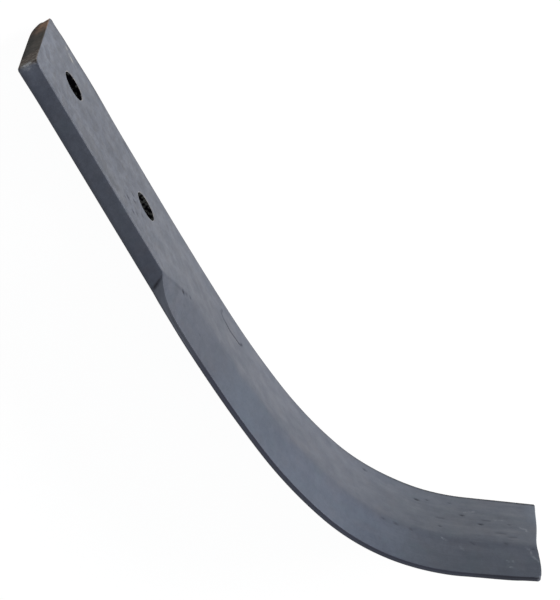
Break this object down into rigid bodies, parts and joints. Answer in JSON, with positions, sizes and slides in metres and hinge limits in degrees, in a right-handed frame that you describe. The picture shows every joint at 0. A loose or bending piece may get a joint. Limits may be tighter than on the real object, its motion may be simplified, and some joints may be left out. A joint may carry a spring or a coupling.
{
  "type": "rotary tiller blade",
  "caption": "Forged soil-tilling blade: flat drilled shank, smooth flatwise bend and one bevelled cutting edge ending in a cropped tip.",
  "frame": {"origin": "middle of the two bolt holes, on the mounting face", "axes": "+X along the straight shank towards the tip, +Y out of the concave bevelled side that the blade bends to, +Z across the bar from the blunt spine to the cutting edge"},
  "size_m": [0.2886, 0.079, 0.0618],
  "materials": {
    "blade_steel": "dull blue-grey paint over forging scale"
  },
  "bodies": {
    "root": {"blade": "blade_steel"}
  },
  "joints": []
}
